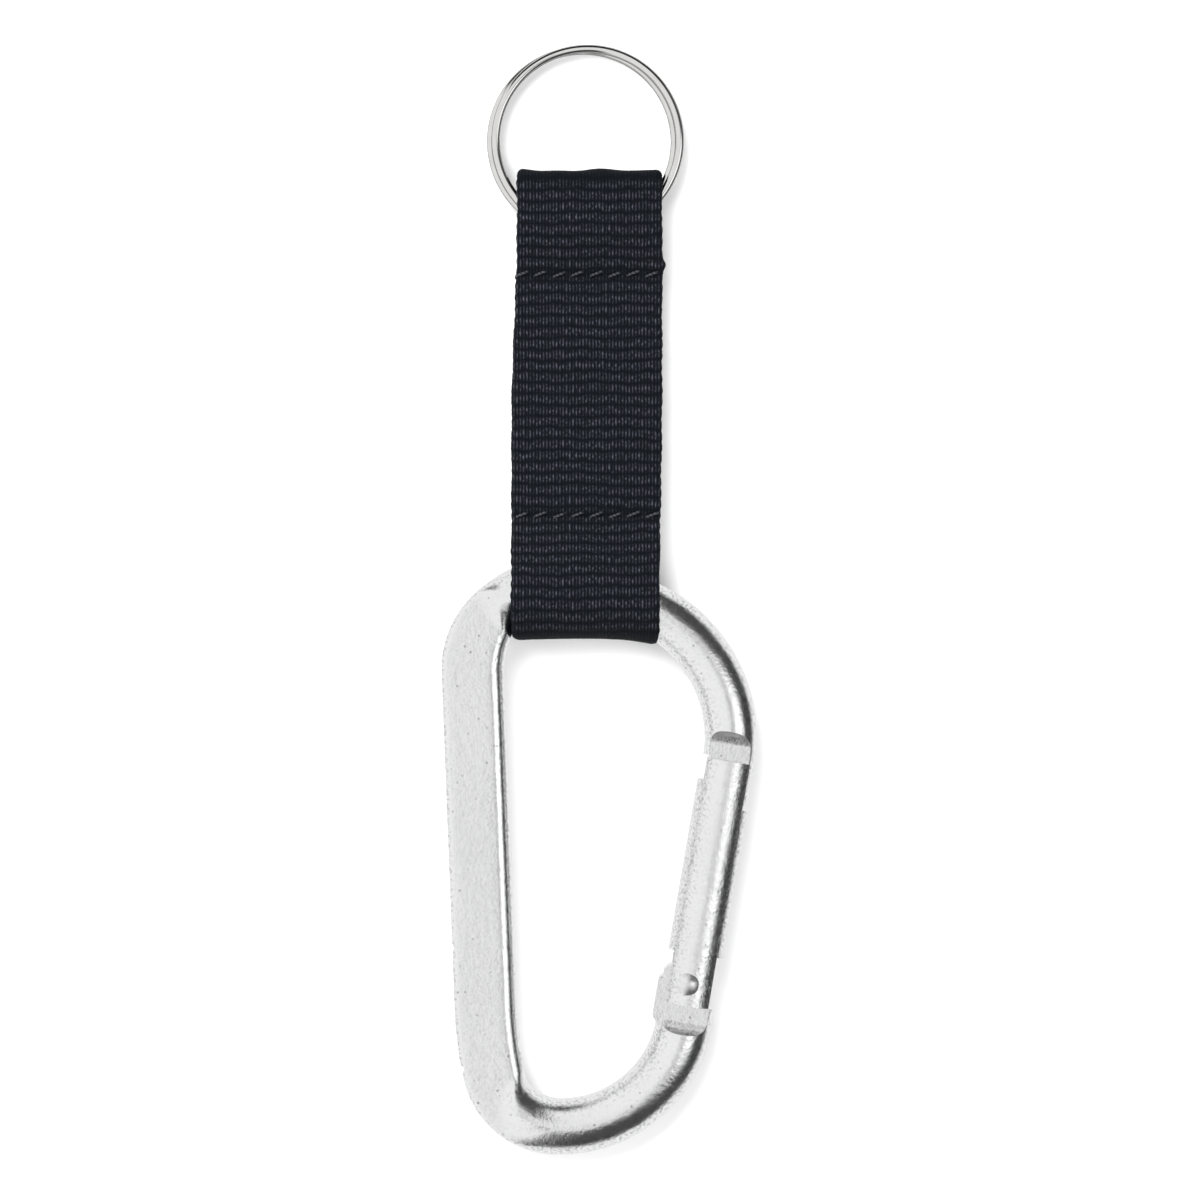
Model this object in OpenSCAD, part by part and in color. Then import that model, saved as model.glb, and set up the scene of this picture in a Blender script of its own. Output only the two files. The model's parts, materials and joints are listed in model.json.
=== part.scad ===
// Carabiner keyring: a pressed aluminium D-shaped snap hook, a folded webbing strap and a split ring.
// It lies flat: +Z is up, +Y runs along the object to the ring, and the lowest point is at z = 0.

/* [Carabiner bar] */
// Radius of the round bar in the upper arm, where the strap hangs
upper_bar_r = 3.5; // [3.3:0.05:3.6]
// Radius of the round bar in the lower arm
lower_bar_r = 3.75; // [3.6:0.05:3.8]
// Width of the pressed spine
spine_w = 8.3; // [7.6:0.1:8.6]
// Thickness of the pressed spine
spine_t = 5.8; // [5.2:0.1:6.4]
// Centre line radius of the bend over the gate's nose
nose_bend_r = 18.9; // [18.6:0.1:19.2]
// Centre line radius of the bend between the upper arm and the spine
shoulder_bend_r = 11.2; // [10.9:0.1:11.5]
// Centre line radius of the gentle curve at the foot of the spine
heel_lead_r = 53; // [45:1:60]
// Centre line radius of the lower left bend
heel_bend_r = 9; // [8.8:0.1:9.3]
// Centre line radius of the lower arm's bend up to the hinge
foot_bend_r = 16.6; // [16.4:0.1:16.9]

/* [Gate] */
// Outer radius of the gate
gate_r = 3.7; // [3.6:0.05:3.8]
// Length of the gate
gate_len = 33; // [32:0.5:34]
// Lean of the closed gate away from the long axis, in degrees
gate_lean = 9.7; // [9:0.1:10.5]
// Thickness of the flat tongues that the gate's slots straddle
tongue_t = 4.5; // [4.2:0.1:4.6]
// Clearance between a tongue and each side of its slot
slot_gap = 0.11; // [0.08:0.01:0.2]
// Radius of the rivet that the gate turns on
rivet_r = 0.8; // [0.7:0.05:0.9]

/* [Strap] */
// Width of the webbing
strap_w = 19.8; // [18:0.1:20]
// Thickness of one layer of webbing
web_t = 1.2; // [1:0.05:1.3]
// Gap between the webbing and the bar inside it
loop_gap = 0.15; // [0.1:0.01:0.3]
// Distance from the bar to the stitches above it
lower_seam_y = 11.2; // [10:0.1:12]
// Distance from the bar to the stitches below the ring
upper_seam_y = 43.4; // [42:0.1:44]
// Distance from the bar to the outside of the fold over the ring
fold_y = 57.2; // [57:0.1:58]

/* [Ring] */
// Outer diameter of the split ring
ring_d = 25.7; // [25:0.1:26]
// Width of the ring's wire, measured along the radius
wire_w = 1.1; // [1:0.05:1.2]
// Thickness of one turn of the wire, measured along the ring's axis
wire_t = 1.28; // [1.2:0.01:1.3]

/* [Hidden] */
$fn = 64;
// Straight runs reach this far into the bends beside them, and are this much slimmer
lap = 0.4;
lap_step = 0.02;
steel = "silver";
alloy = "gainsboro";
cloth = "midnightblue";

// The gate's foot is the middle of its lower end. The centre line leaves the hinge below it.
gate_foot = [11.59, -53.93];
hinge_drop = 2.6;
gate_up = [sin(gate_lean), cos(gate_lean)];
hinge_point = gate_foot - hinge_drop * gate_up;
nose_point = gate_foot + gate_len * gate_up;

// Headings of the centre line, in degrees: it leaves the nose upwards and always turns left.
nose_turn = 85;
shoulder_turn = 106.9;
heel_lead_turn = 9.8;
heel_turn = 78;
h_nose = 90 - gate_lean;
h_top = h_nose + nose_turn;
h_spine = h_top + shoulder_turn;
h_heel = h_spine + heel_lead_turn;
h_foot = h_heel + heel_turn;
foot_turn = h_nose + 360 - h_foot;
bottom_run = 0.1;

function along(h) = [cos(h), sin(h)];
function chord(r, h, turn) = r * [sin(h + turn) - sin(h), cos(h) - cos(h + turn)];
function cross2(a, b) = a[0] * b[1] - a[1] * b[0];

nose_chord = chord(nose_bend_r, h_nose, nose_turn);
shoulder_chord = chord(shoulder_bend_r, h_top, shoulder_turn);
heel_chord = chord(heel_lead_r, h_spine, heel_lead_turn) + chord(heel_bend_r, h_heel, heel_turn);
foot_chord = chord(foot_bend_r, h_foot, foot_turn);

// A short straight run joins the lower arm's bends. The other two are as long as closing the shape takes.
curved_part = nose_chord + shoulder_chord + heel_chord + foot_chord;
still_to_go = hinge_point - nose_point - curved_part - bottom_run * along(h_foot);
runs_cross = cross2(along(h_top), along(h_spine));
top_run = cross2(still_to_go, along(h_spine)) / runs_cross;
spine_run = cross2(along(h_top), still_to_go) / runs_cross;

p_top = nose_point + nose_chord;
p_shoulder = p_top + top_run * along(h_top);
p_spine = p_shoulder + shoulder_chord;
p_lead = p_spine + spine_run * along(h_spine);
p_heel = p_lead + chord(heel_lead_r, h_spine, heel_lead_turn);
p_bottom = p_lead + heel_chord;
p_foot = p_bottom + bottom_run * along(h_foot);

// How far the pressed flat reaches round the bends at each end of the spine, in degrees
shoulder_press = 57;
heel_press = 34;
press_lap = 4;
round_shoulder = shoulder_turn - shoulder_press;
round_heel = heel_turn - heel_press + press_lap;
p_press = p_shoulder + chord(shoulder_bend_r, h_top, round_shoulder);

// Milled flats beside the tongues, in the gate's frame: +Y up the gate and -X into the hook
slot_h = tongue_t / 2 + slot_gap;
mill_r = 2.1;
nose_flat_y = gate_len + 2;
hinge_flat_y = -1.9;
nose_tongue_end = 27.4;
nose_slot_end = 26.8;
nose_wall_top = 30;
hinge_slot_end = 6.9;
inner_wall_x = -2.65;
pivot = [-0.44, 2.85];
cam_out = 1.1;
cam_r = 2.6;
knuckle_r = 2.2;
ear_x = -4.3;
ear_top = 3.3;

// Spring and plunger inside the gate
bore_r = 2.4;
bore_end = 22;
plunger_r = bore_r - 0.07;
plunger_tip = pivot[1] + cam_r + 0.1;
plunger_head = 3;
plunger_stem_r = 0.9;
plunger_stem = 4.5;
spring_r = 1.85;
spring_wire_r = 0.28;
spring_turns = 8;
spring_start = plunger_tip + plunger_head + spring_wire_r + 0.05;
spring_end = bore_end - spring_wire_r - 0.05;

// How it lies: the lower arm and the turn of webbing on the bar both touch the floor.
loop_in_r = upper_bar_r + loop_gap;
loop_out_r = loop_in_r + web_t;
low_arm_y = p_foot[1];
strap_x = -1.75;
swing_y = 0.1;
body_tilt = atan((loop_out_r - lower_bar_r) / (swing_y - 2 - low_arm_y));
swing_z = lower_bar_r + (swing_y - low_arm_y) * tan(body_tilt);

// The loop on the bar runs from one side of the strap to the other.
nose_centre = nose_point + nose_bend_r * [-sin(h_nose), cos(h_nose)];
shoulder_centre = p_shoulder + shoulder_bend_r * [-sin(h_top), cos(h_top)];
loop_right = acos((strap_x + strap_w / 2 - nose_centre[0]) / nose_bend_r);
loop_left = acos((strap_x - strap_w / 2 - shoulder_centre[0]) / shoulder_bend_r);

// The strap's own frame starts at the swing axis, with +Y along the strap.
strap_start = 7.3;
strap_start_h = 3;
flex_y = (lower_seam_y + upper_seam_y) / 2;
flap_y = upper_seam_y + 2.1;
joint_gap = 0.2;
pocket_h = wire_t + 0.22;
fold_out_r = pocket_h + web_t - 0.05;
fold_centre = fold_y - fold_out_r;
pocket_centre = fold_centre + 0.3;
pocket_start = 49;
strap_slope = asin((swing_z - fold_out_r) / fold_centre);

// The ring lies with its far side on the floor and its near side in the fold.
ring_r = ring_d / 2;
ring_mid_r = ring_r - wire_w / 2;
ring_x = strap_x;
ring_y = 61.45;
meet_y = 52;
turn_gap = 0.06;
wire_round = 0.35;
meet_z = swing_z - (meet_y - swing_y) * tan(strap_slope);
ring_tilt = atan((meet_z - wire_t - turn_gap / 2) / (ring_y + ring_mid_r - meet_y));
ring_z = meet_z - (ring_y - meet_y) * tan(ring_tilt);
split_turn = 16;
split_at = 262;

// Stitches: short slanted threads on both faces of the strap
stitch_count = 8;
stitch_len = 2.3;
stitch_r = 0.22;
stitch_slant = 8;

module in_body() {
    translate([0, swing_y, swing_z]) rotate([body_tilt, 0, 0]) translate([0, -swing_y, 0]) children();
}

module in_gate() {
    in_body() translate([gate_foot[0], gate_foot[1], 0]) rotate([0, 0, -gate_lean]) children();
}

module in_strap() {
    translate([0, swing_y, swing_z]) rotate([-strap_slope, 0, 0]) children();
}

module in_ring() {
    translate([ring_x, ring_y, ring_z]) rotate([-ring_tilt, 0, 0]) children();
}

// A left-hand bend that sweeps the 2D section, whose +X points away from the bend's centre.
// A negative turn sweeps it backwards from p.
module bend(p, h, r, turn) {
    centre = p + r * [-sin(h), cos(h)];
    translate([centre[0], centre[1], 0])
        rotate([0, 0, h - 90])
            rotate_extrude(angle = turn, $fn = 180)
                translate([r, 0]) children();
}

// A straight run of the same section
module run(p, h, length) {
    translate([p[0], p[1], 0])
        rotate([0, 0, h - 90])
            rotate([-90, 0, 0])
                linear_extrude(length) mirror([0, 1]) children();
}

// Points beside the centre line along one bend, at a distance out from it
function beside_bend(p, h, r, turn, out) =
    let (centre = p + r * [-sin(h), cos(h)], steps = ceil(turn / 4))
    [for (i = [0 : steps]) let (a = h + turn * i / steps) centre + (r + out) * [sin(a), -cos(a)]];

function beside_spine(out) = concat(
    beside_bend(p_press, h_top + round_shoulder, shoulder_bend_r, shoulder_press, out),
    beside_bend(p_lead, h_spine, heel_lead_r, heel_lead_turn, out),
    beside_bend(p_heel, h_heel, heel_bend_r, heel_press, out)
);

function backwards(list) = [for (i = [len(list) - 1 : -1 : 0]) list[i]];

// The pressed stretch: the whole spine, and part of the bends at its two ends
module pressed_spine() {
    translate([0, 0, -spine_t / 2])
        linear_extrude(spine_t)
            polygon(concat(beside_spine(spine_w / 2), backwards(beside_spine(-spine_w / 2))));
}

module bar_sweep() {
    bend(nose_point, h_nose, nose_bend_r, nose_turn) circle(upper_bar_r);
    run(p_top - lap * along(h_top), h_top, top_run + 2 * lap) circle(upper_bar_r - lap_step);
    bend(p_shoulder, h_top, shoulder_bend_r, round_shoulder + press_lap) circle(upper_bar_r);
    pressed_spine();
    bend(p_bottom, h_foot, heel_bend_r, -round_heel) circle(lower_bar_r);
    run(p_bottom - lap * along(h_foot), h_foot, bottom_run + 2 * lap) circle(lower_bar_r - lap_step);
    bend(p_foot, h_foot, foot_bend_r, foot_turn) circle(lower_bar_r);
}

// Stock for one tongue: a stretch of bar along the gate's axis
module bar_stub(from, to, r) {
    translate([0, from, 0]) rotate([-90, 0, 0]) cylinder(r = r, h = to - from);
}

// Length of the cutting shapes, more than the bar is thick
cutter_reach = 12;
wall_relief = 0.1;
pin_gap = 0.05;
end_relief = 0.3;

// What the cutter takes off both faces beyond a flat's end, with its round run-out
module mill(from, to, run_out_at) {
    for (side = [-1, 1]) {
        z = side * (tongue_t + cutter_reach) / 2;
        translate([0, (from + to) / 2, z]) cube([cutter_reach, to - from, cutter_reach], center = true);
        translate([0, run_out_at, side * (tongue_t / 2 + mill_r)])
            rotate([0, 90, 0]) cylinder(r = mill_r, h = cutter_reach, center = true);
    }
}

module hinge_plate() {
    translate([pivot[0] - cam_out, pivot[1], -tongue_t / 2]) cylinder(r = cam_r, h = tongue_t);
    translate([pivot[0], pivot[1], -tongue_t / 2]) cylinder(r = knuckle_r, h = tongue_t);
    translate([ear_x, hinge_flat_y - 1, -tongue_t / 2])
        cube([-ear_x, ear_top - hinge_flat_y + 1, tongue_t]);
}

module carabiner_body() {
    color(alloy) difference() {
        union() {
            in_body() bar_sweep();
            in_gate() bar_stub(nose_tongue_end, gate_len + lap, upper_bar_r - lap_step);
            in_gate() bar_stub(-hinge_drop - lap, 0, lower_bar_r - lap_step);
            in_gate() hinge_plate();
        }
        in_gate() mill(nose_tongue_end - 1, nose_flat_y, nose_flat_y);
        in_gate() mill(hinge_flat_y, hinge_slot_end + 1, hinge_flat_y);
        in_gate() translate([inner_wall_x + wall_relief - gate_r, nose_tongue_end - 1, -gate_r])
            cube([gate_r, gate_len + end_relief - nose_tongue_end + 1, 2 * gate_r]);
        in_gate() translate([pivot[0], pivot[1], 0])
            cylinder(r = rivet_r + pin_gap, h = cutter_reach, center = true);
    }
}

// The gate: a round bar, slotted at both ends and bored from the hinge end for its spring
module gate() {
    slot_w = 2 * slot_h;
    color(alloy) in_gate() difference() {
        rotate([-90, 0, 0]) cylinder(r = gate_r, h = gate_len);
        translate([-gate_r - 1, -1, -slot_h]) cube([2 * gate_r + 2, hinge_slot_end + 1, slot_w]);
        translate([inner_wall_x, nose_slot_end, -slot_h]) cube([gate_r + 4, gate_len, slot_w]);
        translate([-gate_r - 1, nose_wall_top, -slot_h]) cube([gate_r, gate_len, slot_w]);
        translate([0, hinge_slot_end - 2, 0]) rotate([-90, 0, 0])
            cylinder(r = bore_r, h = bore_end - hinge_slot_end + 2);
        translate([pivot[0], pivot[1], 0]) cylinder(r = rivet_r, h = cutter_reach, center = true);
    }
}

// The rivet's heads sit on the gate's round faces
head_base = gate_r - 0.25;

module rivet_head() {
    dome_r = 2.3;
    head_r = 1.5;
    head_edge = 0.2;
    dome_base = head_base + head_edge;
    drop = sqrt(dome_r * dome_r - head_r * head_r);
    translate([0, 0, head_base]) cylinder(r = head_r, h = head_edge);
    intersection() {
        translate([0, 0, dome_base - drop]) sphere(dome_r);
        translate([0, 0, dome_base]) cylinder(r = head_r, h = dome_r);
    }
}

module gate_rivet() {
    color(alloy) in_gate() translate([pivot[0], pivot[1], 0]) {
        cylinder(r = rivet_r, h = 2 * head_base + rivet_r / 2, center = true);
        rivet_head();
        mirror([0, 0, 1]) rivet_head();
    }
}

module gate_plunger() {
    color(steel) in_gate() translate([0, plunger_tip, 0]) rotate([-90, 0, 0]) {
        cylinder(r = plunger_r, h = plunger_head);
        cylinder(r = plunger_stem_r, h = plunger_head + plunger_stem);
    }
}

// The spring's wire, swept along a helix as one closed tube
spring_sides = 6;
steps_per_turn = 14;
spring_steps = steps_per_turn * spring_turns;
function spring_at(i) =
    let (a = 360 * spring_turns * i / spring_steps)
    [spring_r * cos(a), spring_start + (spring_end - spring_start) * i / spring_steps, spring_r * sin(a)];
function spring_ring(i) =
    let (a = 360 * spring_turns * i / spring_steps, c = spring_at(i))
    [for (k = [0 : spring_sides - 1])
        let (b = 360 * k / spring_sides)
        c + spring_wire_r * [cos(b) * cos(a), sin(b), cos(b) * sin(a)]];

module gate_spring() {
    n = spring_sides;
    points = [for (i = [0 : spring_steps]) each spring_ring(i)];
    sides = [for (i = [0 : spring_steps - 1]) for (k = [0 : n - 1])
        [i * n + k, (i + 1) * n + k, (i + 1) * n + (k + 1) % n, i * n + (k + 1) % n]];
    start_cap = [for (k = [0 : n - 1]) k];
    end_cap = [for (k = [n - 1 : -1 : 0]) spring_steps * n + k];
    color(steel) in_gate() polyhedron(points = points, faces = concat(sides, [start_cap, end_cap]));
}

// The turn of webbing that hugs the curved bar
module loop_section(slim = 0) {
    difference() {
        circle(loop_out_r - slim);
        circle(loop_in_r + slim);
    }
}

module bar_loop() {
    right_turn = h_top - 90 - loop_right;
    p_right = nose_centre + nose_bend_r * [cos(loop_right), sin(loop_right)];
    color(cloth) in_body() {
        bend(p_right, loop_right + 90, nose_bend_r, right_turn) loop_section();
        run(p_top - lap * along(h_top), h_top, top_run + 2 * lap) loop_section(lap_step);
        bend(p_shoulder, h_top, shoulder_bend_r, loop_left + 90 - h_top) loop_section();
    }
}

// Sweeps a section drawn in the strap's (Y, Z) plane across the strap's width
module across(width = strap_w) {
    in_strap() translate([strap_x - width / 2, 0, 0]) rotate([90, 0, 90]) linear_extrude(width) children();
}

// The strap starts with a hollow round end about its swing axis, and is down to two layers below the seam
taper_end = lower_seam_y - 2 * stitch_r - 0.3;

module strap_lower() {
    color(cloth) across() {
        difference() {
            polygon([
                [strap_start - 1, -strap_start_h], [taper_end, -web_t], [flex_y, -web_t],
                [flex_y, web_t], [taper_end, web_t], [strap_start - 1, strap_start_h]
            ]);
            circle(strap_start);
        }
        translate([flex_y, 0]) circle(web_t);
    }
}

module strap_upper() {
    color(cloth) across() difference() {
        union() {
            translate([flex_y, -web_t]) square([flap_y - flex_y, 2 * web_t]);
            translate([flap_y, 0]) circle(web_t);
        }
        translate([flex_y, 0]) circle(web_t + joint_gap);
    }
}

// A notch beside the fold line leaves the pocket free to flap
notch_angle = 52;
notch_y = (web_t + joint_gap) * cos(notch_angle);
notch_z = (web_t + joint_gap) * sin(notch_angle);

// The pocket that the ring runs through, closed by the fold
module ring_loop() {
    color(cloth) across() difference() {
        union() {
            polygon([
                [flap_y + notch_y, -notch_z], [pocket_start, -fold_out_r], [fold_centre, -fold_out_r],
                [fold_centre, fold_out_r], [pocket_start, fold_out_r], [flap_y + notch_y, notch_z]
            ]);
            translate([fold_centre, 0]) circle(fold_out_r);
        }
        translate([flap_y, 0]) circle(web_t + joint_gap);
        translate([pocket_start, 0]) circle(pocket_h);
        translate([pocket_centre, 0]) circle(pocket_h);
        translate([pocket_start, -pocket_h]) square([pocket_centre - pocket_start, 2 * pocket_h]);
    }
}

// One row of stitches on both faces
module stitch_row(y) {
    pitch = strap_w / stitch_count;
    in_strap() for (side = [-1, 1]) for (i = [0 : stitch_count - 1])
        translate([strap_x + (i + 0.5) * pitch - strap_w / 2, y, side * (web_t + stitch_r)])
            rotate([0, 90, stitch_slant])
                cylinder(r = stitch_r, h = stitch_len, center = true, $fn = 16);
}

module lower_stitches() {
    color(cloth) stitch_row(lower_seam_y);
}

module upper_stitches() {
    color(cloth) stitch_row(upper_seam_y);
}

// Section of one turn of the ring's wire, with rounded edges
module wire_section() {
    translate([-wire_w / 2, -wire_t / 2 + wire_round]) square([wire_w, wire_t - 2 * wire_round]);
    translate([-wire_w / 2 + wire_round, -wire_t / 2]) square([wire_w - 2 * wire_round, wire_t]);
    for (x = [-1, 1]) for (y = [-1, 1])
        translate([x * (wire_w / 2 - wire_round), y * (wire_t / 2 - wire_round)]) circle(wire_round);
}

// The slanted step is slimmer than the wire, and runs a little way into both turns
step_inset = 0.35;
step_foot = 0.9;
step_w = wire_w - 0.3;

// Two turns side by side, joined by one slanted step
module split_ring() {
    lift = (wire_t + turn_gap) / 2;
    half_step = ring_mid_r * tan(split_turn / 2) - step_inset;
    foot = half_step + step_foot;
    color(steel) in_ring() rotate([0, 0, split_at]) {
        for (side = [-1, 1])
            translate([0, 0, side * lift]) rotate([0, 0, split_turn / 2])
                rotate_extrude(angle = 360 - split_turn, $fn = 180)
                    translate([ring_mid_r, 0]) wire_section();
        translate([ring_mid_r - step_w / 2, 0, 0]) rotate([90, 0, 90])
            linear_extrude(step_w)
                polygon([
                    [-foot, lift - wire_t / 2], [foot, -lift - wire_t / 2],
                    [foot, -lift + wire_t / 2], [-foot, lift + wire_t / 2]
                ]);
    }
}

carabiner_body();
gate();
gate_rivet();
gate_plunger();
gate_spring();
bar_loop();
strap_lower();
strap_upper();
ring_loop();
lower_stitches();
upper_stitches();
split_ring();
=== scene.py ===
import bmesh
import bpy
import json
import math
import numpy as np
from mathutils import Matrix, Vector


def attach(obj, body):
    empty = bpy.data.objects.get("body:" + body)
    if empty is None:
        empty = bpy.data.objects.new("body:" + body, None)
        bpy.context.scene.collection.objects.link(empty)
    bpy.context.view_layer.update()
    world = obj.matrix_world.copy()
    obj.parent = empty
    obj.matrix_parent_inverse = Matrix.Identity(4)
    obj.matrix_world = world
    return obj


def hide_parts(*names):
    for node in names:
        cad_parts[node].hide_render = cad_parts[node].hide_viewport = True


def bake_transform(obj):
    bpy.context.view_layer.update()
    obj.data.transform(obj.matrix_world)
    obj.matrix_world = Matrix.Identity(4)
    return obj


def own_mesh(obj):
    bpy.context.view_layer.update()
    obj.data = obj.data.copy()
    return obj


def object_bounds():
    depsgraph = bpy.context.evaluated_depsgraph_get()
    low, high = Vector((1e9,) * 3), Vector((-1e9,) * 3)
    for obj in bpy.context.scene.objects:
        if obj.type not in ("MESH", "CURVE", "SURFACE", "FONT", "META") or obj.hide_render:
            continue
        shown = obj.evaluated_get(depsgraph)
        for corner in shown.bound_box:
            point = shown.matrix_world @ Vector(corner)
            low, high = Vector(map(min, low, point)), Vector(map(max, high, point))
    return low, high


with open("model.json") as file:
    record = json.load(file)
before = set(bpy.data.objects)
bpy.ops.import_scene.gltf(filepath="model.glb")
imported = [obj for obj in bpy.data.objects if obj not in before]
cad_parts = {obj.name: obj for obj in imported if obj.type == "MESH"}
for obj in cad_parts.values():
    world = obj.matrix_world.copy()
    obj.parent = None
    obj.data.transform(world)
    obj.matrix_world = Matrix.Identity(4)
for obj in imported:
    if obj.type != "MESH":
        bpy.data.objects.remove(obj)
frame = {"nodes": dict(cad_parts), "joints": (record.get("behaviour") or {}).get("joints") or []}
cad_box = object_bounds()

MM = 0.001
JOINTS = {j["name"]: j for j in frame["joints"]}

# ---------------------------------------------------------------- sizes, in millimetres and degrees
UPPER_R, LOWER_R = 3.5, 3.75          # round bar in the two arms
SPINE_HALF_W, SPINE_HALF_T = 4.15, 2.9
OUTER_EDGE_R, INNER_EDGE_R = 0.75, 1.9
GATE_LEN = 33.0
PIVOT = (-0.44, 2.85)                 # the rivet, in the gate's frame
HINGE_DROP = 2.6
NOSE_TONGUE_END = 27.4
TONGUE_HALF = 2.25
MILL_R = 2.1
NOSE_FLAT, HINGE_FLAT = 35.0, -1.9
# The bar's bends, from the nose to the hinge: radius and turn. The last one's turn closes the loop.
NOSE_BEND = (18.9, 85.0)
CORNER_BEND = (11.2, 106.9)
SPINE_BOW = (53.0, 9.8)
FOOT_BEND = (9.0, 78.0)
HINGE_BEND_R = 16.6
BOTTOM_RUN = 0.1
# Where the press flattens the bar, as turns within the corner's bend and the foot's bend.
PRESS_FROM_TURN, PRESS_TO_TURN = 60, 36
LEAN_TOP_TURN, LEAN_FOOT_TURN = 6, 22  # how far the flat's two ends lean across the bar
TOP_FADE, FOOT_FADE, WIDTH_FADE = 2.8, 5.0, 11.0
# Nicks: distance before the foot's bend, side (1 is the outer edge), and the cutter's distance out.
NICKS = ((1.3, 1, 4.3), (3.6, -1, 4.35), (17.0, 1, 4.45))
NICK_R, NICK_SIDES = 0.6, 7
STRAP_W, WEB_T = 19.8, 1.2
LOWER_SEAM, UPPER_SEAM = 11.2, 43.4
RIB_PITCH, RIB_H = 1.5, 0.17
LAYER_Z = WEB_T / 2 + 0.02            # middle of each layer, above and below the strap's mid plane
BAR_GAP, WIRE_GAP = 0.15, 0.22        # between the webbing and what it goes round
BAR_FOLD_Y, RING_FOLD_Y = -5.32, 54.85
POCKET_Y = 49.2                       # where the layers have parted for the ring
TAB_Y, TAB_OUT = 44.6, 0.5            # the tab of the webbing's cut end, beside the upper row
RING_MID_R, WIRE_W, WIRE_T, TURN_GAP = 12.3, 1.1, 1.28, 0.06
WIRE_EDGE_R = 0.46
FRONT_SHIFT, REAR_SHIFT = 0.1, 0.55   # the front turn sits to the right, and the rear turn to the left
RING_SPLIT, RING_STEP = 262, 16       # where the wire's ends are, and the turn it takes to step back
STITCH_RINGS, STITCH_SIDES, STITCH_COUNT = 15, 12, 8

# Places of the bar's legs in the list that bar_legs makes.
NOSE_LEG, TOP_LEG, CORNER_LEG, SPINE_LEG, BOW_LEG, FOOT_LEG, BOTTOM_LEG, HINGE_LEG = range(1, 9)


# ---------------------------------------------------------------- frames from the joints
def joint_point(name):
    return Vector(JOINTS[name]["pos_m"]) / MM


body_axis = JOINTS["gate_hinge"]["axis"]
body_tilt = math.atan2(-body_axis[1], body_axis[2])
swing = joint_point("strap_swing")
flap = joint_point("ring_flap")
TO_BODY = (Matrix.Translation((0, swing.y, swing.z)) @ Matrix.Rotation(body_tilt, 4, "X")
           @ Matrix.Translation((0, -swing.y, 0)))
gate_up = TO_BODY.to_3x3().inverted() @ Vector(JOINTS["plunger_slide"]["axis"])
gate_lean = math.atan2(gate_up.x, gate_up.y)
pivot_in_body = TO_BODY.inverted() @ joint_point("gate_hinge")
TO_GATE = (TO_BODY @ Matrix.Translation((pivot_in_body.x, pivot_in_body.y, 0))
           @ Matrix.Rotation(-gate_lean, 4, "Z") @ Matrix.Translation((-PIVOT[0], -PIVOT[1], 0)))
slope = math.atan2(flap.z - swing.z, flap.y - swing.y)
TO_STRAP = Matrix.Translation((0, swing.y, swing.z)) @ Matrix.Rotation(slope, 4, "X")
STRAP_X = swing.x
spin = joint_point("ring_spin")
spin_axis = JOINTS["ring_spin"]["axis"]
TO_RING = Matrix.Translation(spin) @ Matrix.Rotation(-math.atan2(spin_axis[1], spin_axis[2]), 4, "X")


# ---------------------------------------------------------------- mesh helpers
def smoothstep(t):
    t = np.clip(t, 0.0, 1.0)
    return t * t * (3 - 2 * t)


def hump(y, centre, width):
    """1 at the centre, falling off to nothing over about twice the width."""
    return np.exp(-((y - centre) / width) ** 2)


def make_object(name, points, faces, matrix=None, smooth_angle=None):
    """A mesh object from points in millimetres, placed by matrix, in metres."""
    pts = np.asarray(points, float).reshape(-1, 3)
    if matrix is not None:
        m = np.array(matrix)
        pts = pts @ m[:3, :3].T + m[:3, 3]
    mesh = bpy.data.meshes.new(name)
    mesh.from_pydata((pts * MM).tolist(), [], faces)
    mesh.validate()
    mesh.update()
    obj = bpy.data.objects.new(name, mesh)
    bpy.context.scene.collection.objects.link(obj)
    shade(obj, smooth_angle)
    return obj


def shade(obj, angle=None):
    """Smooth shading, with sharp edges where faces meet at more than the angle."""
    mesh = obj.data
    mesh.polygons.foreach_set("use_smooth", [True] * len(mesh.polygons))
    if angle is not None:
        mesh.set_sharp_from_angle(angle=math.radians(angle))


def tube_faces(rows, cols):
    """Faces of a tube of rings, with a cap on each end."""
    faces = []
    for i in range(rows - 1):
        for k in range(cols):
            here, beside = i * cols + k, i * cols + (k + 1) % cols
            faces.append((here, here + cols, beside + cols, beside))
    last = (rows - 1) * cols
    faces.append(tuple(range(cols)))
    faces.append(tuple(last + k for k in reversed(range(cols))))
    return faces


def cylinder_points(radius, low, high, count=96, centre=(0.0, 0.0), axis="Z"):
    """Points and faces of a cylinder along Z or X."""
    turn = np.linspace(0, 2 * math.pi, count, endpoint=False)
    u, v = centre[0] + radius * np.cos(turn), centre[1] + radius * np.sin(turn)
    rings = []
    for level in (low, high):
        w = np.full(count, level)
        rings.append(np.stack((u, v, w) if axis == "Z" else (w, u, v), axis=1))
    return np.concatenate(rings), tube_faces(2, count)


def prism_points(outline, low, high):
    rings = [[(x, y, z) for x, y in outline] for z in (low, high)]
    return np.array(rings).reshape(-1, 3), tube_faces(2, len(outline))


def box_points(low, high):
    outline = [(low[0], low[1]), (high[0], low[1]), (high[0], high[1]), (low[0], high[1])]
    return prism_points(outline, low[2], high[2])


def fix_normals(obj):
    bm = bmesh.new()
    bm.from_mesh(obj.data)
    bmesh.ops.recalc_face_normals(bm, faces=bm.faces)
    bm.to_mesh(obj.data)
    bm.free()


def combine(obj, others, operation):
    """Applies one boolean per other object, which is then removed."""
    for other in others:
        fix_normals(other)
        mod = obj.modifiers.new("cut", "BOOLEAN")
        mod.operation, mod.solver, mod.object = operation, "EXACT", other
        bpy.context.view_layer.update()
        evaluated = obj.evaluated_get(bpy.context.evaluated_depsgraph_get())
        done = bpy.data.meshes.new_from_object(evaluated)
        obj.modifiers.clear()
        obj.data = done
        bpy.data.objects.remove(other)


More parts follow.
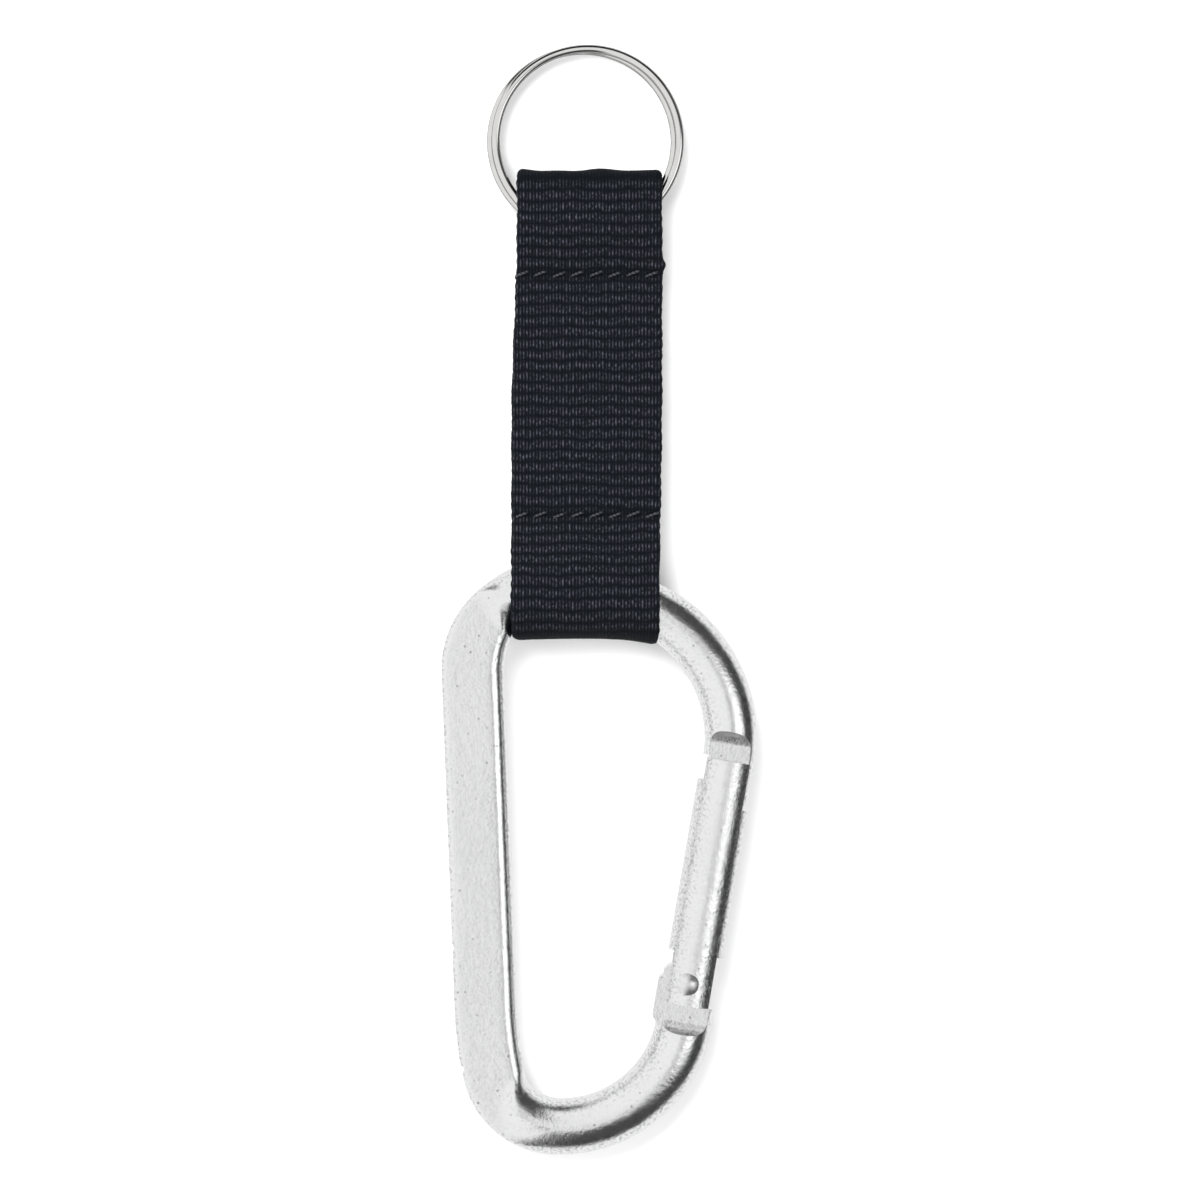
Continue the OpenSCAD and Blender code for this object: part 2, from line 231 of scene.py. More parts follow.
def soften_edges(obj, width):
    mod = obj.modifiers.new("edge", "BEVEL")
    mod.width, mod.segments, mod.limit_method = width * MM, 2, "ANGLE"
    mod.angle_limit = math.radians(35)
    mod.harden_normals = True


# ---------------------------------------------------------------- the bent bar
def direction(h):
    return np.array([math.cos(math.radians(h)), math.sin(math.radians(h))])


def left_of(h):
    x, y = direction(h)
    return np.array([-y, x])


def in_body_plane(x, y):
    """A point of the gate's frame, in the body's plane."""
    p = TO_BODY.inverted() @ TO_GATE @ Vector((x, y, 0))
    return np.array([p.x, p.y])


def bar_legs():
    """The first heading, and the centre line as (radius, turn) bends and (None, length) straight runs.
    It turns left all the way, from the nose to the hinge."""
    legs = [[None, GATE_LEN - NOSE_TONGUE_END], list(NOSE_BEND), [None, 0.0], list(CORNER_BEND),
            [None, 0.0], list(SPINE_BOW), list(FOOT_BEND), [None, BOTTOM_RUN],
            [HINGE_BEND_R, 0.0], [None, HINGE_DROP]]
    legs[HINGE_LEG][1] = 360 - sum(turn for r, turn in legs if r)
    return 90 - math.degrees(gate_lean), legs


def close_legs(heading, legs):
    """Gives the two long straight runs the lengths that end the line at the hinge."""
    p, goal = in_body_plane(0, GATE_LEN), in_body_plane(0, -HINGE_DROP)
    runs = []
    for r, amount in legs[NOSE_LEG:HINGE_LEG + 1]:
        if r:
            centre = p + r * left_of(heading)
            heading += amount
            p = centre - r * left_of(heading)
        else:
            runs.append(direction(heading))
            p = p + amount * direction(heading)
    legs[TOP_LEG][1], legs[SPINE_LEG][1] = np.linalg.solve(np.stack(runs[:2], axis=1), goal - p)
    return legs


def centre_line(step=0.35):
    """Stations along the bar: points, headings, distance along, and where each leg starts."""
    h, legs = bar_legs()
    legs = close_legs(h, legs)
    points, heads, along, starts = [in_body_plane(0, NOSE_TONGUE_END)], [h], [0.0], [0.0]
    for r, amount in legs:
        length = math.radians(amount) * r if r else amount
        n = max(2, int(math.ceil(length / step)))
        p0, h0 = points[-1], heads[-1]
        for i in range(1, n + 1):
            if r:
                turned = amount * i / n
                points.append(p0 + r * left_of(h0) - r * left_of(h0 + turned))
                heads.append(h0 + turned)
            else:
                points.append(p0 + direction(h0) * length * i / n)
                heads.append(h0)
            along.append(along[-1] + length / n)
        starts.append(along[-1])
    return np.array(points), np.array(heads), np.array(along), starts


def section(half_w, half_t, inner_r, outer_r, per_corner=14, per_flat=6):
    """Points of a rounded section as (out, up), anticlockwise from the lower outer corner."""
    pts = []
    corners = [(1, -1, -90, outer_r), (1, 1, 0, outer_r), (-1, 1, 90, inner_r), (-1, -1, 180, inner_r)]
    for k, (sx, sy, a0, r) in enumerate(corners):
        cx, cy = sx * (half_w - r), sy * (half_t - r)
        for i in range(per_corner + 1):
            a = math.radians(a0 + 90 * i / per_corner)
            pts.append((cx + r * math.cos(a), cy + r * math.sin(a)))
        nx, ny, a1, nr = corners[(k + 1) % 4]
        q = (nx * (half_w - nr) + nr * math.cos(math.radians(a1)),
             ny * (half_t - nr) + nr * math.sin(math.radians(a1)))
        p = pts[-1]
        for i in range(1, per_flat):
            t = i / per_flat
            pts.append((p[0] + (q[0] - p[0]) * t, p[1] + (q[1] - p[1]) * t))
    return np.array(pts)


def bar_sections(along, starts):
    """The section at each station: round in both arms, and pressed flat along the spine."""
    upper = section(UPPER_R, UPPER_R, UPPER_R, UPPER_R)
    pressed = section(SPINE_HALF_W, SPINE_HALF_T, INNER_EDGE_R, OUTER_EDGE_R)
    lower_share = smoothstep((along - starts[SPINE_LEG]) / (starts[BOW_LEG] - starts[SPINE_LEG]))
    round_r = UPPER_R + (LOWER_R - UPPER_R) * lower_share
    corner_mm, foot_mm = math.radians(CORNER_BEND[0]), math.radians(FOOT_BEND[0])  # per degree of turn
    press_from = starts[CORNER_LEG] + corner_mm * PRESS_FROM_TURN
    press_to = starts[FOOT_LEG] + foot_mm * PRESS_TO_TURN
    lean_top, lean_foot = corner_mm * LEAN_TOP_TURN, foot_mm * LEAN_FOOT_TURN
    out = pressed[:, 0] / SPINE_HALF_W
    on = smoothstep((along[:, None] - (press_from - lean_top * out[None, :])) / TOP_FADE + 0.5)
    off = smoothstep(((press_to + lean_foot * out[None, :]) - along[:, None]) / FOOT_FADE + 0.5)
    flatness = (on * off)[:, :, None]
    wide = (smoothstep((along - press_from) / WIDTH_FADE + 0.3)
            * smoothstep((press_to - along) / WIDTH_FADE + 0.3))
    scale_out = (round_r + (SPINE_HALF_W - round_r) * wide) / SPINE_HALF_W
    flat = pressed[None] * np.stack([scale_out, np.ones_like(scale_out)], axis=1)[:, None, :]
    rounded = (upper / UPPER_R)[None, :, :] * round_r[:, None, None]
    return rounded * (1 - flatness) + flat * flatness


def nick_cutters(points, side, along, foot_start):
    """Short upright cutters that take a bite out of the spine's edges."""
    cutters = []
    for back, side_of, reach in NICKS:
        i = int(np.argmin(np.abs(along - (foot_start - back))))
        middle = points[i] + side_of * reach * side[i]
        bite = cylinder_points(NICK_R, -4, 4, count=NICK_SIDES, centre=tuple(middle))
        cutters.append(make_object("nick", *bite, TO_BODY))
    return cutters


def carabiner_body():
    points, heads, along, starts = centre_line()
    shape = bar_sections(along, starts)
    rad = np.radians(heads)
    side = np.stack([np.sin(rad), -np.cos(rad)], axis=1)
    xy = points[:, None, :] + shape[:, :, :1] * side[:, None, :]
    grid = np.concatenate([xy, shape[:, :, 1:]], axis=2)
    body = make_object("carabiner_bar", grid.reshape(-1, 3), tube_faces(*grid.shape[:2]), TO_BODY)
    fix_normals(body)
    combine(body, [hinge_plate()], "UNION")
    combine(body, mill_cutters(), "DIFFERENCE")
    combine(body, nick_cutters(points, side, along, starts[FOOT_LEG]), "DIFFERENCE")
    shade(body, 28)
    soften_edges(body, 0.12)
    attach(body, "carabiner")
    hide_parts("carabiner_body")
    body.data.materials.append(MATERIALS["bar"])


def arc(centre, radius, first, last):
    """Points of an arc, every 5 degrees."""
    turns = np.radians(np.arange(first, last + 1, 5))
    return [(centre[0] + radius * math.cos(a), centre[1] + radius * math.sin(a)) for a in turns]


def hinge_plate():
    """The tongue's plate: a knuckle and a cam round the rivet, and the ear beside them."""
    cam_r, knuckle_r, cam_offset = 2.6, 2.2, 1.1
    ear_x, ear_top, ear_corner = -4.3, 3.3, 0.5
    foot_y = HINGE_FLAT - 1.2
    outline = [(1.2, foot_y), (2.9, -0.6)]
    outline += arc(PIVOT, knuckle_r, 0, 75)
    outline += arc((PIVOT[0] - cam_offset, PIVOT[1]), cam_r, 80, 150)
    outline += [(ear_x + ear_corner, ear_top), (ear_x + 0.12, ear_top - 0.15), (ear_x, ear_top - ear_corner),
                (ear_x, HINGE_FLAT - 0.3), (ear_x + 0.8, foot_y)]
    half_t = TONGUE_HALF + 0.01
    return make_object("plate", *prism_points(outline, -half_t, half_t), TO_GATE)


def mill_cutters():
    """What the cutter takes off above and below both tongues, and beside the nose tongue."""
    half_w, height = 7, 8
    nose_low = NOSE_TONGUE_END - 1
    cutters = []
    for side in (-1, 1):
        z0, z1 = sorted((side * TONGUE_HALF, side * height))
        for low, high, edge in ((nose_low, NOSE_FLAT, NOSE_FLAT), (HINGE_FLAT, 8, HINGE_FLAT)):
            slab = box_points((-half_w, low, z0), (half_w, high, z1))
            cutters.append(make_object("cut", *slab, TO_GATE))
            fillet = cylinder_points(MILL_R, -half_w - 0.3, half_w + 0.3,
                                     centre=(edge, side * (TONGUE_HALF + MILL_R)), axis="X")
            cutters.append(make_object("cut", *fillet, TO_GATE))
    beside_nose = box_points((-half_w, nose_low, -5), (-2.55, GATE_LEN + 0.3, 5))
    cutters.append(make_object("cut", *beside_nose, TO_GATE))
    return cutters


# ---------------------------------------------------------------- webbing
def smooth_path(points, window):
    """Evens out a path's corners, leaving its two ends where they are."""
    half = window // 2
    before = 2 * points[0] - points[half:0:-1]
    after = 2 * points[-1] - points[-2:-half - 2:-1]
    padded = np.concatenate([before, points, after])
    kernel = np.ones(window) / window
    return np.stack([np.convolve(padded[:, i], kernel, "valid") for i in (0, 1)], axis=1)


def path_run(points):
    """How far along a path each of its points is."""
    gaps = np.linalg.norm(np.diff(points, axis=0), axis=1)
    return np.concatenate([[0], np.cumsum(gaps)])


def point_count(points, step):
    """How many points divide a path at about that step."""
    return max(2, int(round(path_run(points)[-1] / step))) + 1


def resample(points, count):
    """The same path with count points at an even step, and how far along it each one is."""
    run = path_run(points)
    at = np.linspace(0, run[-1], count)
    return np.stack([np.interp(at, run, points[:, i]) for i in (0, 1)], axis=1), at


def fine_path(points):
    """The path with its corners evened out over about 2 mm."""
    fine, _ = resample(points, point_count(points, 0.05))
    return smooth_path(fine, 41)


def full_loop(seam, first, last, radius):
    """A webbing loop in the strap's (Y, Z) plane, from the seam round the fold and back.
    It rises over a round about first, and its fold is a half round about last."""
    sign = 1 if last > seam else -1
    lean = math.asin(min(0.99, (radius - LAYER_Z) / abs(seam - first)))
    rise = [(first - sign * radius * math.sin(a), radius * math.cos(a)) for a in np.linspace(lean, 0, 8)]
    fold = [(last + sign * radius * math.sin(a), radius * math.cos(a))
            for a in np.linspace(0, math.pi / 2, 24)]
    half = np.array([(seam, LAYER_Z)] + rise + [(last, radius)] + fold)
    back = half[::-1][1:] * np.array([1, -1])
    return np.concatenate([half, back])


def rib(distance):
    """Height of the ribs: rounded crests with narrow valleys."""
    roundness, middle = 0.55, 0.75
    phase = (distance / RIB_PITCH) % 1.0
    return RIB_H * (np.abs(np.sin(math.pi * phase)) ** roundness - middle)


def rib_wander(x, y):
    """How far the ribs wander from a straight row: two waves, and a shift on the right near the bar."""
    long_wave = 0.11 * np.sin(0.62 * x + 0.35 * y)
    short_wave = 0.07 * np.sin(1.9 * x - 0.8 * y + 1.0)
    right_shift = 0.012 * np.maximum(x + 2, 0) ** 1.5 * smoothstep((30 - y) / 20)
    return long_wave + short_wave + right_shift


def strap_edges(y):
    """Left and right edges of the webbing, in millimetres: it is a little narrower at the ring."""
    left = STRAP_X - 9.35 - 0.72 * smoothstep((50 - y) / 26)
    right = STRAP_X + 10.05 - 0.42 * smoothstep((30 - y) / 36)
    fray = 0.03 * np.sin(4.1 * y) + 0.05 * np.sin(0.9 * y + 2)
    return left - fray, right + fray


def quiet(y):
    """1 where the weave is pressed smooth: on both folds and along both seams. The webbing is also painted
    darker there, partly as pressed yarn and partly as painted shade.
    """
    folds = smoothstep((y - 54.7) / 1.2) + smoothstep((-3.2 - y) / 1.2)
    seams = hump(y, LOWER_SEAM, 0.75) + hump(y, UPPER_SEAM, 0.75)
    return np.clip(folds + seams, 0, 1)


def across_points(count):
    """Places across the webbing from -1 to 1, closer together at its edges."""
    t = np.linspace(-1, 1, count)
    return np.sign(t) * (1 - (1 - np.abs(t)) ** 1.25)


def ribbon_column(u, line, at, rib_start):
    """Upper and lower points of the ribbon at one place across it, with the ribs' places and calms."""
    half_w, half_t = STRAP_W / 2, WEB_T / 2
    edge_scallop, seam_pinch, pinch_len, rib_share = 0.035, 0.3, 0.6, 0.5
    tangent = np.gradient(line, axis=0)
    tangent /= np.linalg.norm(tangent, axis=1)[:, None]
    normal = np.stack([-tangent[:, 1], tangent[:, 0]], axis=1)
    edge = max(0.0, (abs(u) * half_w - (half_w - half_t)) / half_t)
    thick = half_t * math.sqrt(max(0.0, 1 - edge ** 2.4))
    y = line[:, 0]
    calm = quiet(y)
    place = at + rib_start + rib_wander(u * half_w, y)
    ribs = rib(place) * (1 - edge ** 3) * (1 - 0.7 * calm)
    left, right = strap_edges(y)
    x = left + (right - left) * (u + 1) / 2
    x = x + edge_scallop * np.sin(2 * math.pi * place / RIB_PITCH) * edge
    tab = hump(y, TAB_Y, 1.0) * smoothstep((u - 0.75) / 0.25)
    x = x + np.where(line[:, 1] > 0, TAB_OUT * tab, 0)
    pinch = 1 - seam_pinch * hump(y, LOWER_SEAM, pinch_len) - seam_pinch * hump(y, UPPER_SEAM, pinch_len)
    faces = []
    for sign in (1, -1):
        yz = line + normal * sign * (thick * pinch + ribs * rib_share)[:, None]
        faces.append(np.stack([x, yz[:, 0], yz[:, 1]], axis=1))
    return faces[0], faces[1], place, calm


def webbing(name, path_at, rib_start, columns=61, step=0.12):
    """A closed ribbon along a path that may change across the width.
    path_at(u) gives (Y, Z) points for u from -1 to 1. Both faces carry the ribs, and the edges are round."""
    us = across_points(columns)
    count = point_count(fine_path(path_at(us[0])), step)
    made = [ribbon_column(u, *resample(fine_path(path_at(u)), count), rib_start) for u in us]
    upper, lower, places, calms = (np.stack(values, axis=1) for values in zip(*made))
    grid = np.concatenate([upper, lower[:, ::-1][:, 1:-1]], axis=1)
    rows, cols = grid.shape[:2]
    obj = make_object(name, grid.reshape(-1, 3), tube_faces(rows, cols), TO_STRAP)
    fix_normals(obj)
    weave = np.zeros((rows, cols, 3))
    weave[:, :, 0] = grid[:, :, 0]
    for channel, one_face in ((1, places), (2, calms)):
        weave[:, :, channel] = np.concatenate([one_face, one_face[:, ::-1][:, 1:-1]], axis=1)
    attribute = obj.data.attributes.new("weave", "FLOAT_VECTOR", "POINT")
    attribute.data.foreach_set("vector", weave.reshape(-1).astype(np.float32))
    obj.data.materials.append(MATERIALS["webbing"])
    return obj


def bar_top(u):
    """Middle of the round that the webbing rises over, from its left edge (-1) to its right (1).
    It drops to the right, where the bar bends away."""
    x = u * STRAP_W / 2
    return 1.9 - 0.012 * (x + 4.5) ** 2 - 0.10 * max(0.0, x) - 0.0045 * max(0.0, x) ** 2


def bar_fold(u):
    """Middle of the fold's round: the fold is a little hollow and lower at its right, with round corners."""
    outer_r = UPPER_R + BAR_GAP + WEB_T
    hollow = -0.22 * u * u
    right_drop = -0.55 * max(0.0, u) ** 2.5 - 0.35 * max(0.0, u - 0.6)
    corner = 0.35 * max(0.0, abs(u) - 0.9) / 0.1
    return BAR_FOLD_Y + hollow + right_drop + corner + outer_r


def ring_fold(u):
    """Middle of the pocket's round: a little wavy, higher at the right, with round corners."""
    wave = 0.18 * math.sin(5.2 * u + 0.6) + 0.1 * math.sin(11 * u)
    right_rise = 0.25 * max(0.0, u - 0.7) / 0.3
    corner = 0.3 * max(0.0, abs(u) - 0.93) / 0.07
    return RING_FOLD_Y + 0.7 * wave + right_rise - corner


def strap():
    bar_loop_r = UPPER_R + BAR_GAP + WEB_T / 2
    pocket_r = WIRE_T + WIRE_GAP + WEB_T / 2
    lower = webbing("strap_bar_fold",
                    lambda u: full_loop(LOWER_SEAM, bar_top(u), bar_fold(u), bar_loop_r), 0.0)
    upper = webbing("strap_ring_fold",
                    lambda u: full_loop(UPPER_SEAM, POCKET_Y, ring_fold(u), pocket_r), 0.7)
    layers = []
    for sign, name in ((1, "strap_front"), (-1, "strap_back")):
        run = np.array([(LOWER_SEAM, sign * LAYER_Z), (UPPER_SEAM, sign * LAYER_Z)])
        layers.append(webbing(name, lambda u, run=run: run, 0.35 * sign))
    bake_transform(lower)
    for layer in layers:
        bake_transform(layer)
    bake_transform(upper)
    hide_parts("bar_loop")
    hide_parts("strap_lower", "strap_upper")
    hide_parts("ring_loop")


# ---------------------------------------------------------------- ring
def split_ring():
    """One wire of two turns: it steps from the front turn to the rear one where the first turn ends."""
    turns, per_turn = 2, 240
    full = turns * 2 * math.pi
    wire = section(WIRE_W / 2, WIRE_T / 2, WIRE_EDGE_R, WIRE_EDGE_R, per_corner=7, per_flat=2)
    lift = (WIRE_T + TURN_GAP) / 2
    split, step_turn = math.radians(RING_SPLIT), math.radians(RING_STEP)
    end_gap = step_turn / 4
    steps = turns * per_turn
    grid = []
    for i in range(steps + 1):
        a = full * i / steps
        level = 1 - 2 * smoothstep((a - 2 * math.pi + step_turn / 2) / step_turn)
        ang = split + a * (1 - 2 * end_gap / full) + end_gap
        c, s = math.cos(ang), math.sin(ang)
        shift = FRONT_SHIFT * (1 + level) / 2 - REAR_SHIFT * (1 - level) / 2
        grid.append([((RING_MID_R + out) * c + shift, (RING_MID_R + out) * s, lift * level + up)
                     for out, up in wire])
    grid = np.array(grid)
    ring = make_object("ring_wire", grid.reshape(-1, 3), tube_faces(*grid.shape[:2]), TO_RING, 50)
    fix_normals(ring)
    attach(ring, "ring")
    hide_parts("split_ring")
    ring.data.materials.append(MATERIALS["nickel"])


# ---------------------------------------------------------------- stitches
def stitch(x0, seam, side, wobble):
    """Rings of points along one stroke of thread, whose ends dip into the webbing."""
    length, radius, slant, dip = 1.95, 0.2, 0.36, 0.75
    crest = WEB_T + 0.21
    rings = []
    for t in np.linspace(-1, 1, STITCH_RINGS):
        x = x0 + t * length / 2
        y = seam + slant * t + wobble
        z = side * (crest - dip * abs(t) ** 6)
        r = radius * (1 - 0.25 * abs(t) ** 3)
        rings += [(x, y + r * math.cos(a), z + r * math.sin(a))
                  for a in np.linspace(0, 2 * math.pi, STITCH_SIDES, endpoint=False)]
    return rings


def stitch_rows():
    for name, node, seam, body in (("lower_seam_thread", "lower_stitches", LOWER_SEAM, "strap_lower"),
                                   ("upper_seam_thread", "upper_stitches", UPPER_SEAM, "strap_upper")):
        points, faces = [], []
        for side in (-1, 1):
            for i in range(STITCH_COUNT):
                x0 = STRAP_X - STRAP_W / 2 + (i + 0.5) * STRAP_W / STITCH_COUNT
                base = len(points)
                points += stitch(x0, seam, side, 0.1 * math.sin(2.3 * i))
                faces += [tuple(base + k for k in f) for f in tube_faces(STITCH_RINGS, STITCH_SIDES)]
        row = make_object(name, points, faces, TO_STRAP)
        fix_normals(row)
        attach(row, body)
        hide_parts(node)
        row.data.materials.append(MATERIALS["thread"])


# ---------------------------------------------------------------- gate spring
def gate_spring():
    """The coil spring in the gate's bore. It is one fixed coil carried with the gate: it does not shorten as
    the plunger is pushed in.
    """
    low, high, coil_r, wire_r, turns = 8.88, 21.67, 1.85, 0.28, 8
    steps, sides = 26 * turns, 10
    grid = []
    for i in range(steps + 1):
        a = 2 * math.pi * turns * i / steps
        y = low + (high - low) * i / steps
        for b in np.linspace(0, 2 * math.pi, sides, endpoint=False):
            r = coil_r + wire_r * math.cos(b)
            grid.append((r * math.cos(a), y + wire_r * math.sin(b), r * math.sin(a)))
    spring = make_object("coil_spring", grid, tube_faces(steps + 1, sides), TO_GATE)
    fix_normals(spring)
    spring.data.materials.append(MATERIALS["nickel"])
    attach(spring, "gate")
    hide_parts("gate_spring")
    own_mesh(spring)


# ---------------------------------------------------------------- material helpers
def new_material(name):
    mat = bpy.data.materials.new(name)
    mat.use_nodes = True
    return mat, mat.node_tree, mat.node_tree.nodes["Principled BSDF"]


def add_node(tree, kind, values=None, sockets=None, **settings):
    """A node with its settings, the values of its inputs, and the sockets linked to its inputs."""
    made = tree.nodes.new("ShaderNode" + kind)
    for key, value in settings.items():
        setattr(made, key, value)
    for key, value in (values or {}).items():
        made.inputs[key].default_value = value
    for key, socket in (sockets or {}).items():
        tree.links.new(socket, made.inputs[key])
    return made


def maths(tree, operation, *terms):
    """A Math node, where each term is a number or a socket."""
    made = add_node(tree, "Math", operation=operation)
    for i, term in enumerate(terms):
        if isinstance(term, (int, float)):
            made.inputs[i].default_value = term
        else:
            tree.links.new(term, made.inputs[i])
    return made.outputs[0]


def spread(tree, source, low, high, to_low=0.0, to_high=1.0, **settings):
    """Turns the range low to high into the range to_low to to_high, and holds it at both ends."""
    values = {"From Min": low, "From Max": high, "To Min": to_low, "To Max": to_high}
    return add_node(tree, "MapRange", values, {"Value": source}, **settings).outputs["Result"]


def noise(tree, vector, scale, detail, roughness=0.5):
    values = {"Scale": scale, "Detail": detail, "Roughness": roughness}
    return add_node(tree, "TexNoise", values, {"Vector": vector}).outputs["Fac"]


def ramp(tree, factor, dark, light, dark_at=0.0, light_at=1.0):
    """A colour between dark and light."""
    made = add_node(tree, "ValToRGB", None, {"Fac": factor})
    for stop, place, colour in zip(made.color_ramp.elements, (dark_at, light_at), (dark, light)):
        stop.position = place
        stop.color = (*colour, 1)
    return made.outputs["Color"]


def bump(tree, height, strength, depth, sockets=None):
    """A bump of that depth in millimetres."""
    values = {"Strength": strength, "Distance": depth * MM}
    return add_node(tree, "Bump", values, {"Height": height, **(sockets or {})}).outputs["Normal"]


def upright_slope(tree, coords):
    """1 where the surface faces along the object's own Z, either way, and 0 where it faces sideways."""
    parts = add_node(tree, "SeparateXYZ", None, {"Vector": coords["Normal"]})
    return maths(tree, "ABSOLUTE", parts.outputs["Z"])


# ---------------------------------------------------------------- materials
def aluminium(name, roughness, grain, speck_and_painted_reflection_depth=0.4):
    """Tumbled, polished aluminium: soft cloudy brightness, a fine grain, pits, and dark specks that are
    partly grain and partly a painted reflection on the rounded sides.
    """
    mat, tree, shader = new_material(name)
    shader.inputs["Metallic"].default_value = 1.0
    coords = add_node(tree, "TexCoord").outputs
    place = coords["Object"]
    fine = noise(tree, place, 2600, 4, 0.7)
    coarse = noise(tree, place, 900, 4, 0.65)
    cells = add_node(tree, "TexVoronoi", {"Scale": 760, "Randomness": 1.0}, {"Vector": place})
    from_pit = cells.outputs["Distance"]
    clean = ramp(tree, noise(tree, place, 90, 3), (0.87, 0.872, 0.875), (0.96, 0.96, 0.962))

    # The specks are densest where the surface rounds over, with few on the flats and the upright faces.
    # There the specks are partly the metal's grain and partly a painted reflection: the dark that the
    # rounded sides mirror is painted into their colour.
    slant = upright_slope(tree, coords)
    rounded = maths(tree, "MULTIPLY", spread(tree, slant, 0.95, 0.72, 0.12, 1.0),
                    spread(tree, slant, 0.2, 0.5, 0.15, 1.0))
    speck_and_painted_reflection = spread(tree, noise(tree, place, 2400, 3, 0.7), 0.5, 0.62, 0.0, speck_and_painted_reflection_depth)
    free_of_specks_and_painted_reflection = spread(tree, maths(tree, "MULTIPLY", rounded, speck_and_painted_reflection), 0.0, 1.0, 1.0, 0.0)
    sparse = spread(tree, noise(tree, place, 260, 2), 0.42, 0.6)
    dents = maths(tree, "MULTIPLY", spread(tree, from_pit, 0.16, 0.08, 0.0, 0.5), sparse)
    free_of_dents = spread(tree, dents, 0.0, 1.0, 1.0, 0.0)
    clean_share = maths(tree, "MULTIPLY", free_of_specks_and_painted_reflection, free_of_dents)
    # The dark colour fills the pits and the specks, so on the rounded sides it is partly a painted
    # reflection.
    tint = add_node(tree, "Mix", {"A": (0.16, 0.165, 0.17, 1)}, {"B": clean, "Factor": clean_share},
                    data_type="RGBA")
    tree.links.new(tint.outputs["Result"], shader.inputs["Base Color"])
    tree.links.new(spread(tree, coarse, 0.3, 0.7, roughness * 0.75, roughness * 1.5),
                   shader.inputs["Roughness"])

    pitted = maths(tree, "MULTIPLY_ADD", spread(tree, from_pit, 0.05, 0.13), 0.5, fine)
    waves = bump(tree, coarse, grain * 0.6, 0.06)
    relief = bump(tree, pitted, grain * 0.6, 0.04, {"Normal": waves})
    tree.links.new(relief, shader.inputs["Normal"])
    return mat


def webbing_material():
    """Near-black ribbed webbing: broken, paler yarns on the ribs' crests, fainter on folds and seams. The
    paler crests are partly the yarns and partly a painted sheen, and their fading on folds and seams is
    partly pressed yarn and partly painted shade.
    """
    mat, tree, shader = new_material("ribbed_webbing")
    yarn_pitch = 0.44
    weave = add_node(tree, "Attribute", attribute_name="weave").outputs["Vector"]
    parts = add_node(tree, "SeparateXYZ", None, {"Vector": weave}).outputs
    across, along, calm = parts["X"], parts["Y"], parts["Z"]
    uneven = noise(tree, weave, 2.1, 5)
    strayed = maths(tree, "ADD", across, maths(tree, "MULTIPLY", uneven, 0.3))
    yarn_wave = maths(tree, "SINE", maths(tree, "MULTIPLY", strayed, 2 * math.pi / yarn_pitch))
    yarn = maths(tree, "MULTIPLY_ADD", yarn_wave, 0.5, 0.5)
    phase = maths(tree, "FRACT", maths(tree, "DIVIDE", along, RIB_PITCH))
    # The crests are painted paler than the valleys: partly paler yarn, partly a painted sheen where light
    # would catch them.
    crest = maths(tree, "SINE", maths(tree, "MULTIPLY", phase, math.pi))
    fleck_and_sheen = maths(tree, "MULTIPLY", maths(tree, "POWER", yarn, 2.0), maths(tree, "POWER", crest, 1.5))
    broken = maths(tree, "MULTIPLY_ADD", spread(tree, uneven, 0.42, 0.68), 0.9, 0.12)
    # On folds and seams the paler crests fade: partly pressed yarn, partly painted shade.
    loud = maths(tree, "MULTIPLY_ADD", calm, -0.85, 1.0)
    fleck_and_sheen = maths(tree, "MULTIPLY", maths(tree, "MULTIPLY", fleck_and_sheen, broken), loud)
    colour = ramp(tree, fleck_and_sheen, (0.0026, 0.0038, 0.0056), (0.075, 0.074, 0.096))
    tree.links.new(colour, shader.inputs["Base Color"])
    shader.inputs["Roughness"].default_value = 0.85
    shader.inputs["Specular IOR Level"].default_value = 0.14
    shader.inputs["Sheen Weight"].default_value = 0.01
    height = maths(tree, "MULTIPLY_ADD", yarn, 0.7, maths(tree, "MULTIPLY", uneven, 0.4))
    tree.links.new(bump(tree, height, 0.7, 0.12), shader.inputs["Normal"])
    return mat


def thread_material():
    """Dark bonded thread with a slanting twist."""
    mat, tree, shader = new_material("bonded_thread")
    place = add_node(tree, "TexCoord").outputs["Object"]
    twist = add_node(tree, "TexWave", {"Scale": 900, "Distortion": 1.5}, {"Vector": place},
                     bands_direction="DIAGONAL").outputs["Fac"]
    colour = ramp(tree, twist, (0.010, 0.012, 0.017), (0.05, 0.052, 0.062))
    tree.links.new(colour, shader.inputs["Base Color"])
    shader.inputs["Roughness"].default_value = 0.5
    tree.links.new(bump(tree, twist, 0.6, 0.08), shader.inputs["Normal"])
    return mat


def nickel_material():
    """Bright nickel. Its upright sides are painted dark, in place of the dark room a real ring mirrors."""
    mat, tree, shader = new_material("bright_nickel")
    shader.inputs["Metallic"].default_value = 1.0
    coords = add_node(tree, "TexCoord").outputs
    mottle = noise(tree, coords["Object"], 500, 4)
    clean = ramp(tree, mottle, (0.70, 0.695, 0.68), (0.86, 0.855, 0.845))
    dark_sides = ramp(tree, upright_slope(tree, coords), (0.05, 0.05, 0.055), (1, 1, 1), 0.35, 0.62)
    tint = add_node(tree, "Mix", {"Factor": 1.0}, {"A": clean, "B": dark_sides},
                    data_type="RGBA", blend_type="MULTIPLY")
    tree.links.new(tint.outputs["Result"], shader.inputs["Base Color"])
    tree.links.new(spread(tree, mottle, 0.0, 1.0, 0.06, 0.16), shader.inputs["Roughness"])
    return mat


def plain_material(name, colour, specular=None):
    """An even, matt surface for the studio."""
    mat, _, shader = new_material(name)
    shader.inputs["Base Color"].default_value = (*colour, 1)
    shader.inputs["Roughness"].default_value = 0.9
    if specular is not None:
        shader.inputs["Specular IOR Level"].default_value = specular
    return mat


